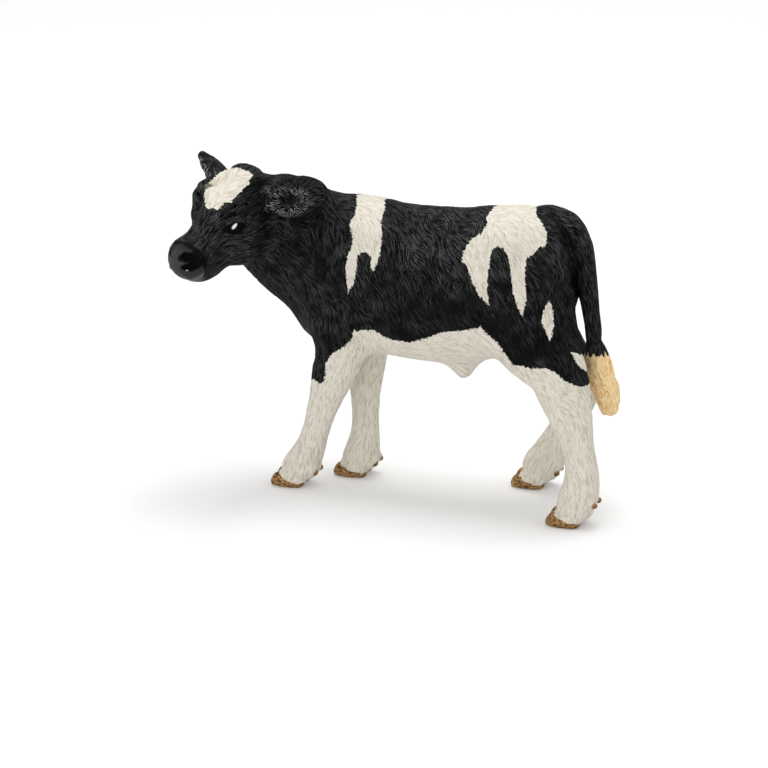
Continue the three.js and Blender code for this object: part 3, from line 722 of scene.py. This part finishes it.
def whiteness(points, normals):
    """How far a point lies within white paint, negative in black"""
    places = pixels(left_side(points))
    patches = (LOWER_EDGE + [(640, 700), (150, 700)], SHOULDER_BAND, RUMP_PATCH, THIGH_SPOT)
    white = np.maximum.reduce([inside_by(places, patch) for patch in patches])
    from_middle = points[:, 1] - MIDDLE_Y
    inner = from_middle * normals[:, 1] < -0.3 * np.abs(from_middle)
    outlined = np.where(points[:, 2] < INNER_OUTLINE_TOP, white, -9)
    return np.where(inner, np.maximum(INNER_WHITE_TOP - points[:, 2], outlined), white)


def head_whiteness(points):
    """How far a point lies within the star, which ends at the crown and at the root of the right ear"""
    local = in_head(points)
    end = np.minimum(0.8 - local[:, 0], 5.1 - local[:, 1]) + 0.5 * (noise(points, 0.8) - 0.5)
    star = np.minimum(inside_by(pixels(points), STAR), end)
    return np.where((local[:, 2] > 1.5) & (local[:, 0] > -15), star, -5)


def brush_and_light(points, node):
    """How much grey is dry-brushed on the black coat, from 0 to 1, with painted light and shade in it:
    lighter above and darker below, painted highlights on the lids, the bare nose lit at its front and top,
    and painted shade near the left ear
    """
    known = np.array([place for place, _ in BRUSH_AND_LIGHT_LEVELS], float)
    levels = np.array([level for _, level in BRUSH_AND_LIGHT_LEVELS])
    weights = np.exp(-((points[:, None, [0, 2]] - known) ** 2).sum(axis=2) / (2 * BRUSH_SPREAD**2))
    level = (weights @ levels) / (weights.sum(axis=1) + 1e-12) + 0.8 * (noise(points, 2.4) - 0.5)
    if node == "head":
        eye = in_eye(left_of(in_head(points)))
        lids = np.minimum(chain(eye, *UPPER_LID), chain(eye, *LOWER_LID))
        # Painted highlight: the lids are lighter
        level = np.maximum(level, smooth_step(lids, 0.25, 0.05))
        # Painted light on the bare nose: lighter at its front and top, darker towards the chin
        muzzle = in_head(points)
        pad = smooth_step(muzzle[:, 0], -20.5, -22.5) * smooth_step(muzzle[:, 2], -2, 1)
        level = np.where(muzzle[:, 0] < -20, pad, level)
    # Painted shade on the head and trunk, darker nearer to the left ear
    if node not in EARS:
        level *= smooth_step(NEAR_GRID.sampled(NEAR["left_ear"], points), 0.2, 3)
    return np.clip(level, 0, 1)


def mesh_of(name, points, quads, attributes):
    mesh = bpy.data.meshes.new(name)
    mesh.from_pydata((points * MM).tolist(), [], quads.tolist())
    for key, values in attributes.items():
        kind = "FLOAT_VECTOR" if values.ndim == 2 else "FLOAT"
        layer = mesh.attributes.new(key, kind, "POINT")
        layer.data.foreach_set("vector" if values.ndim == 2 else "value", values.astype(np.float32).ravel())
    mesh.shade_smooth()
    piece = bpy.data.objects.new(name, mesh)
    bpy.context.scene.collection.objects.link(piece)
    return piece


# Strings of beads: (x, y, z, radius) each
NAVEL = ((9.5, MIDDLE_Y, 28, 2.3), (10.9, MIDDLE_Y, 24.5, 0.85))
TAIL_HEAD = (
    (27.7, MIDDLE_Y, 56.1, 1.9), (29.4, MIDDLE_Y, 56, 2), (30.7, MIDDLE_Y, 55.2, 2), (31.8, MIDDLE_Y, 54, 2),
)
THIGH_EDGE = ((31.6, 2, 42.6, 1.7), (31.9, 2, 38.6, 1.7), (32.7, 2, 35, 1.7))
# The cells that each piece is sampled in
CELLS = {"trunk": 0.29, "head": 0.17, "tail": 0.17, "left_ear": 0.12, "right_ear": 0.12}
LEG_CELL = 0.18


def rump_form(points, skin):
    """Rounds the tail's root and presses a groove between the tail and the buttocks"""
    skin = smooth_min(skin, chain(points, *TAIL_HEAD), 0.8)
    places = pixels(left_side(points.reshape(-1, 3)))
    groove = chain(np.column_stack([places, np.zeros(len(places))]), *TAIL_GROOVE).reshape(skin.shape)
    return skin + 0.8 * smooth_step(groove, 0, -5)


def open_sliver(points, skin):
    """Fills out the back of the left thigh and opens the sliver between it and the tail"""
    skin = smooth_min(skin, chain(points, *THIGH_EDGE), 1.5)
    gap = inside_by(pixels(points.reshape(-1, 3)), BEHIND_THIGH).reshape(skin.shape)
    return smooth_max(skin, np.minimum(gap, MIDDLE_Y + 3 - points[..., 1]), 0.3)


def sculpt_rump(grid, values):
    grid.reshape(values, np.array((31, MIDDLE_Y, 50)), 8, rump_form)
    grid.reshape(values, np.array((34, 3, 38)), 8, open_sliver)


def parted(grid, values, node, overlap=0.3):
    """The part of the skin that lies nearer to a node than to the others, and a little more"""
    others = np.minimum.reduce([near for other, near in NEAR.items() if other != node])
    return np.maximum(values, grid.taken_from(NEAR_GRID, (NEAR[node] - others) / 2) - overlap)


def sculpted(node):
    """The points, quads and normals of a piece, and where they are on the outside of the whole skin"""
    points, _ = SHELLS[node]
    grid = Grid(points.min(axis=0) - 1.2, points.max(axis=0) + 1.2, CELLS.get(node, LEG_CELL))
    values = grid.taken_from(BODY_GRID, BODY)
    if node == "trunk":
        values = smooth_min(values, chain(grid.points(), *NAVEL), 0.8)
    elif node in ("head", *EARS):
        sculpt_face(grid, values)
        values = add_ears(grid, values)
    elif node in LEGS:
        sculpt_hoof(grid, values, FEET[node])
        values = np.maximum(values, -np.broadcast_to(grid.axis(2), values.shape))
    if node in ("trunk", "tail", "hind_left_leg", "hind_right_leg"):
        sculpt_rump(grid, values)
    piece = parted(grid, values, node)
    points, quads = largest_shell(*grid.surface(piece))
    normals = grid.slopes(piece, points)
    on_skin = smooth_step(np.abs(grid.sampled(values, points)), 0.25, 0.1)
    return points.astype(float), quads, normals, on_skin


def left_of(local, middle=0.0):
    """Points in the head's frame folded onto its left side across a middle plane"""
    return np.stack([local[:, 0], -np.abs(local[:, 1] - middle), local[:, 2]], axis=1)


# The bare nose starts between these two values of a mix of places along, across and up the muzzle
NOSE_SLANT = (1, -0.2, 0.15)
NOSE_EDGE = (-19.9, -20.2)
# The almond of the eye, the painted highlight (glint) on it and the painted highlight in the corner of the
# mouth
ALMOND = {"along": -0.1, "half_long": 2.5, "half_tall": 1.15}
GLINT = {"along": -0.35, "up": 0.38, "half_long": 0.6, "half_wide": 0.32, "tilt": (0.6, 0.8)}
MOUTH_HIGHLIGHT_SPOT = (-23.15, -2.9, -0.35)


def head_marks(points):
    """Masks of the bare nose; of the eyes' black together with painted shade in the nostrils, the corners of
    the mouth and the brow's creases; and of painted highlights: the glints on the eyes, a spot in each
    corner of the mouth and a line along the lower lip
    """
    muzzle = left_of(in_head(points), MUZZLE_Y)
    bare = muzzle @ NOSE_SLANT + 0.6 * (noise(points, 0.7) - 0.5)
    hollow = np.minimum(chain(muzzle, *NOSTRIL), chain(muzzle, *MOUTH))
    local = left_of(in_head(points))
    along, up, outward = in_eye(local).T
    tall = ALMOND["half_tall"]
    outside = np.abs(up) - tall + tall * ((along - ALMOND["along"]) / ALMOND["half_long"]) ** 2
    eye = smooth_step(outside, 0.12, -0.05) * (np.abs(outward) < 2)
    over, rise = along - GLINT["along"], up - GLINT["up"]
    cos, sin = GLINT["tilt"]
    spot = np.hypot(
        (cos * over + sin * rise) / GLINT["half_long"], (sin * over - cos * rise) / GLINT["half_wide"]
    )
    crease = np.minimum.reduce([chain(local, *wrinkle) for wrinkle in WRINKLES])
    # Painted highlight in the corner of the mouth
    mouth_highlight = smooth_step(lengths(muzzle - MOUTH_HIGHLIGHT_SPOT), 0.45, 0.3)
    # Painted highlight along the rim of the lower lip
    lip_highlight = smooth_step(chain(muzzle, *LIP), 0.08, 0.02)
    return {
        "nose": smooth_step(bare, *NOSE_EDGE),
        # The eye's own black, and painted shade in the nostril, the corner of the mouth and the creases of
        # the brow
        "hollow": np.maximum.reduce([eye, smooth_step(hollow, 0.4, 0), 0.8 * smooth_step(crease, 0.3, 0)]),
        # Painted highlights: the glint on the eye, a spot in the corner of the mouth and a fainter line
        # along the lower lip
        "glint": np.maximum.reduce([eye * smooth_step(spot, 1.15, 0.85), mouth_highlight, 0.3 * lip_highlight]),
    }


def hoof_marks(points, foot):
    """Mask of the horn: the claws and the dewclaws"""
    near = lengths(points - [(foot["toe"] + foot["heel"]) / 2, foot["y"], 2]) < 9
    horn = smooth_step(above_coronet(points, foot), 0.06, -0.06)
    for claw in foot["dewclaws"]:
        behind = points[:, 0] > claw[0] - 0.2
        horn = np.maximum(horn, smooth_step(egg(points, claw, DEWCLAW_RADII), 0.14, 0.04) * behind)
    return horn * near


# Strokes of the engraved coat: their depth, width and length, and how much deeper they are cut in the
# hollow of an ear and on the tuft
ENGRAVED = {"coat": (0.05, 0.38, 1.2), "ear": (0.05, 0.3, 1.8), "tail": (0.06, 0.5, 4.5)}
DEEPER = {"ear": 0.06, "tail": 0.2}
TUFT_TOP = 31
MARKS = ("nose", "hollow", "glint", "hoof", "straw", "inner")


def ear_coat(points, normals, node):
    """The hair's direction, out from the pit of an ear, and a mask of the light hair round the pit"""
    from_pit = in_ear(points, node) - EAR_PIT
    flow = laid(units(from_pit @ EAR_AXES[node] @ HEAD_TURN.T), points, normals)
    facing = normals @ (HEAD_TURN @ EAR_AXES[node][2])
    reach = lengths(from_pit / [6.2, 3.4, 6])
    round_pit = smooth_step(facing, 0.1, 0.5) * smooth_step(reach, 0.2, 0.45) * smooth_step(reach, 1.1, 0.6)
    return flow, round_pit


def dressed(node):
    """A piece of the skin with its engraved coat and what its paint needs"""
    points, quads, normals, on_skin = sculpted(node)
    flow = hair_flow(points, normals)
    marks = dict.fromkeys(MARKS, np.zeros(len(points)))
    white = np.full(len(points), -5.0)
    depth, cell, length = ENGRAVED["coat"]
    if node in ("head", *EARS):
        white = head_whiteness(points)
    if node == "head":
        marks |= head_marks(points)
        depth = depth * (1 - marks["hollow"]) * (1 - marks["nose"])
    elif node in EARS:
        flow, marks["inner"] = ear_coat(points, normals, node)
        depth, cell, length = ENGRAVED["ear"]
        depth = depth + DEEPER["ear"] * marks["inner"]
    elif node == "tail":
        ragged = points[:, 2] + 2.4 * (noise(points * [1, 1, 0.3], 0.5) - 0.5)
        marks["straw"] = smooth_step(ragged, TUFT_TOP, TUFT_TOP - 0.3)
        depth, cell, length = ENGRAVED["tail"]
        depth = depth + DEEPER["tail"] * smooth_step(points[:, 2], TUFT_TOP + 1, TUFT_TOP - 2)
    else:
        white = whiteness(points, normals)
        if node in LEGS:
            marks["hoof"] = hoof_marks(points, FEET[node])
            depth = depth * (1 - marks["hoof"])
    hair = strokes(points, flow, cell, length)
    points = points + normals * (depth * hair * on_skin)[:, None]
    piece = mesh_of(
        node + "_skin", points, quads,
        {"white": white, "hair": hair, "flow": flow, "brush_and_light": brush_and_light(points, node)} | marks,
    )
    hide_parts(node)
    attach(piece, "root")
    return piece


# Materials


def srgb(*levels):
    """A colour from levels of 0 to 255"""
    shares = [level / 255 for level in levels]
    return tuple(c / 12.92 if c <= 0.04045 else ((c + 0.055) / 1.055) ** 2.4 for c in shares) + (1,)


PAINT = {
    "black_groove": srgb(3, 3, 4),
    "black_ridge": srgb(13, 14, 16),
    # Dry-brushed grey, which also serves as painted light: more of it on the upper body, less where shade
    # falls
    "brushed_and_lit_ridge": srgb(76, 77, 76),
    # On the white coat the grooves are darker: partly a wash, partly painted shade in the grooves
    "white_groove": srgb(188, 178, 160),
    "white_ridge": srgb(229, 224, 211),
    "ear_groove": srgb(5, 5, 5),
    "ear_ridge": srgb(150, 151, 150),
    "horn_dark": srgb(60, 36, 18),
    "horn_light": srgb(208, 164, 110),
    "straw_groove": srgb(216, 156, 84),
    "straw_ridge": srgb(252, 228, 178),
    # The bare nose with painted light and shade: lighter at its front and top, darker towards the chin
    "nose_shaded": srgb(24, 24, 25),
    "nose_lit": srgb(54, 54, 55),
    # The eye's own black, and painted shade in the nostrils, the corners of the mouth and the creases of the
    # brow
    "hollow": srgb(3, 3, 3),
    # Painted highlights: the glints on the eyes, the spots in the corners of the mouth and the line along
    # the lower lip
    "glint": srgb(250, 250, 250),
}


class Nodes:
    """Short calls that add nodes to a material"""

    def __init__(self, name):
        self.material = bpy.data.materials.new(name)
        self.material.use_nodes = True
        self.tree = self.material.node_tree
        self.shader = self.tree.nodes["Principled BSDF"]

    def add(self, kind, *sources, **settings):
        node = self.tree.nodes.new(kind)
        for key, value in settings.items():
            setattr(node, key, value)
        for socket, source in zip(node.inputs, sources):
            self.feed(socket, source)
        return node

    def feed(self, socket, source):
        if isinstance(source, bpy.types.NodeSocket):
            self.tree.links.new(source, socket)
        elif source is not None:
            socket.default_value = source

    def math(self, operation, *sources, clamp=False):
        return self.add("ShaderNodeMath", *sources, operation=operation, use_clamp=clamp).outputs[0]

    def mapped(self, value, low, high, start=0.0, end=1.0):
        return self.add("ShaderNodeMapRange", value, low, high, start, end).outputs[0]

    def attribute(self, name, output="Fac"):
        return self.add("ShaderNodeAttribute", attribute_name=name).outputs[output]

    def mix(self, share, a, b):
        node = self.add("ShaderNodeMix", data_type="RGBA")
        for socket, source in zip((node.inputs[0], node.inputs[6], node.inputs[7]), (share, a, b)):
            self.feed(socket, source)
        return node.outputs[2]

    def noise(self, vector, scale, detail=2.0):
        node = self.add("ShaderNodeTexNoise")
        self.feed(node.inputs["Vector"], vector)
        node.inputs["Scale"].default_value = scale
        node.inputs["Detail"].default_value = detail
        return node.outputs["Fac"]

    def strokes(self, cell, length, taps=6):
        """Noise drawn out along the hair, finer than the mesh"""
        place = self.add("ShaderNodeTexCoord").outputs["Object"]
        flow = self.attribute("flow", "Vector")
        total = None
        for i in range(taps):
            step = (i / (taps - 1) - 0.5) * length * MM
            offset = self.add("ShaderNodeVectorMath", flow, operation="SCALE")
            offset.inputs["Scale"].default_value = step
            at = self.add("ShaderNodeVectorMath", place, offset.outputs[0], operation="ADD").outputs[0]
            value = self.noise(at, 1 / (cell * MM), 0.0)
            total = value if total is None else self.math("ADD", total, value)
        return self.mapped(total, taps * 0.4, taps * 0.6)


def coat_material():
    m = Nodes("painted_coat")
    place = m.add("ShaderNodeTexCoord").outputs["Object"]
    lock = m.mapped(m.attribute("hair"), -1, 1, 0, 0.25)
    ridge = m.math("ADD", m.math("MULTIPLY", m.strokes(0.18, 0.95), 0.75), lock)
    bumps = m.mapped(m.noise(place, 1 / (0.4 * MM), 1), 0.3, 0.7, -0.16, 0.16)
    edge = m.math("ADD", m.math("ADD", m.attribute("white"), bumps), m.mapped(ridge, 0.2, 0.8, -0.08, 0.08))
    white = m.mapped(edge, -0.04, 0.04)
    # Dry-brushed grey with painted light and shade in it
    brush_and_light_level = m.attribute("brush_and_light")
    ridge_colour = m.mix(brush_and_light_level, PAINT["black_ridge"], PAINT["brushed_and_lit_ridge"])
    black_coat = m.mix(m.mapped(ridge, 0.38, 0.82), PAINT["black_groove"], ridge_colour)
    # Painted shade in the white coat's grooves, partly a wash
    white_coat = m.mix(m.mapped(ridge, 0.1, 0.55), PAINT["white_groove"], PAINT["white_ridge"])
    colour = m.mix(white, black_coat, white_coat)
    ear_hair = m.mix(m.mapped(ridge, 0.5, 0.8), PAINT["ear_groove"], PAINT["ear_ridge"])
    colour = m.mix(m.attribute("inner"), colour, ear_hair)
    grain = m.add("ShaderNodeVectorMath", place, (0.7, 0.7, 2.2), operation="MULTIPLY").outputs[0]
    rings = m.mapped(m.noise(grain, 1 / (0.42 * MM), 3), 0.36, 0.7)
    horn = m.mix(rings, PAINT["horn_dark"], PAINT["horn_light"])
    colour = m.mix(m.attribute("hoof"), colour, horn)
    straw = m.mix(m.mapped(ridge, 0.15, 0.6), PAINT["straw_groove"], PAINT["straw_ridge"])
    colour = m.mix(m.attribute("straw"), colour, straw)
    nose = m.attribute("nose")
    hollow = m.attribute("hollow")
    # The bare nose with painted light: lighter at its front and top
    colour = m.mix(nose, colour, m.mix(brush_and_light_level, PAINT["nose_shaded"], PAINT["nose_lit"]))
    # The eye's black and painted shade in the hollows
    colour = m.mix(hollow, colour, PAINT["hollow"])
    # Painted highlights
    colour = m.mix(m.attribute("glint"), colour, PAINT["glint"])
    m.feed(m.shader.inputs["Base Color"], colour)
    m.feed(m.shader.inputs["Roughness"], m.mapped(ridge, 0.2, 0.8, 0.75, 0.6))
    m.shader.inputs["Specular IOR Level"].default_value = 0.06
    shiny = m.math("MULTIPLY", nose, m.math("SUBTRACT", 1.0, hollow, clamp=True))
    m.feed(m.shader.inputs["Coat Weight"], m.math("MULTIPLY", shiny, 0.35))
    m.shader.inputs["Coat Roughness"].default_value = 0.25
    bump = m.add("ShaderNodeBump")
    furry = m.math("SUBTRACT", 1.0, m.math("MAXIMUM", nose, hollow), clamp=True)
    m.feed(bump.inputs["Strength"], furry)
    bump.inputs["Distance"].default_value = MM
    m.feed(bump.inputs["Height"], m.math("MULTIPLY", ridge, 0.09))
    m.feed(m.shader.inputs["Normal"], bump.outputs["Normal"])
    return m.material


COAT = coat_material()

for node in SHELLS:
    piece = dressed(node)
    piece.data.materials.append(COAT)


# Stage


FLOOR_HALF_WIDTH = 2.0
FLOOR_GLOW = 0.16
SKY_LIGHT = 0.68


def floor():
    """A pale floor. To the camera it also glows a little, so that it fades into the white sky."""
    half = FLOOR_HALF_WIDTH
    mesh = bpy.data.meshes.new("floor")
    corners = [(-half, -half, 0), (half, -half, 0), (half, half, 0), (-half, half, 0)]
    mesh.from_pydata(corners, [], [(0, 1, 2, 3)])
    piece = bpy.data.objects.new("floor", mesh)
    bpy.context.scene.collection.objects.link(piece)
    m = Nodes("pale_floor")
    m.shader.inputs["Base Color"].default_value = (0.8, 0.8, 0.8, 1)
    m.shader.inputs["Roughness"].default_value = 0.9
    rays = m.add("ShaderNodeLightPath")
    mirrored = m.math("MAXIMUM", rays.outputs["Is Glossy Ray"], rays.outputs["Is Transmission Ray"])
    seen = m.math("MAXIMUM", rays.outputs["Is Camera Ray"], mirrored)
    m.shader.inputs["Emission Color"].default_value = (1, 1, 1, 1)
    m.feed(m.shader.inputs["Emission Strength"], m.math("MULTIPLY", seen, FLOOR_GLOW))
    mesh.materials.append(m.material)
    piece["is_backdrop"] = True


def world():
    """An even sky that is white to the camera and dimmer as a light"""
    sky = bpy.data.worlds.new("studio")
    sky.use_nodes = True
    tree = sky.node_tree
    background = tree.nodes["Background"]
    rays = tree.nodes.new("ShaderNodeLightPath")
    seen = tree.nodes.new("ShaderNodeMath")
    seen.operation = "MAXIMUM"
    tree.links.new(rays.outputs["Is Camera Ray"], seen.inputs[0])
    tree.links.new(rays.outputs["Is Transmission Ray"], seen.inputs[1])
    strength = tree.nodes.new("ShaderNodeMapRange")
    strength.inputs["To Min"].default_value = SKY_LIGHT
    strength.inputs["To Max"].default_value = 1.0
    tree.links.new(seen.outputs[0], strength.inputs["Value"])
    background.inputs["Color"].default_value = (1, 1, 1, 1)
    tree.links.new(strength.outputs[0], background.inputs["Strength"])
    bpy.context.scene.world = sky


def softbox(name, place, size, power):
    """A square lamp that looks at the calf. Its place and size are in metres."""
    lamp = bpy.data.lights.new(name, "AREA")
    lamp.shape = "SQUARE"
    lamp.size = size
    lamp.energy = power
    made = bpy.data.objects.new(name, lamp)
    made.location = place
    towards = Vector(TARGET * MM) - Vector(place)
    made.rotation_euler = towards.to_track_quat("-Z", "Y").to_euler()
    bpy.context.scene.collection.objects.link(made)


def camera():
    lens = bpy.data.cameras.new("camera")
    lens.sensor_width = 36
    lens.lens = 36 * FOCAL_PIXELS / PICTURE
    lens.clip_start = 0.01
    made = bpy.data.objects.new("camera", lens)
    turn = Matrix((RIGHT, UP, BACK)).transposed().to_4x4()
    made.matrix_world = Matrix.Translation((TARGET + DISTANCE * BACK) * MM) @ turn
    bpy.context.scene.collection.objects.link(made)
    bpy.context.scene.camera = made


floor()
world()
softbox("top_light", place=(0, 0.12, 0.75), size=0.35, power=2.8)
softbox("front_light", place=(-0.2, -0.9, 0.15), size=0.7, power=2.6)
camera()
bpy.context.scene.view_settings.view_transform = "Standard"

visual_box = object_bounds()
boxes = {"cad": cad_box, "visual": visual_box}
{name: [list(corner) for corner in box] for name, box in boxes.items()}
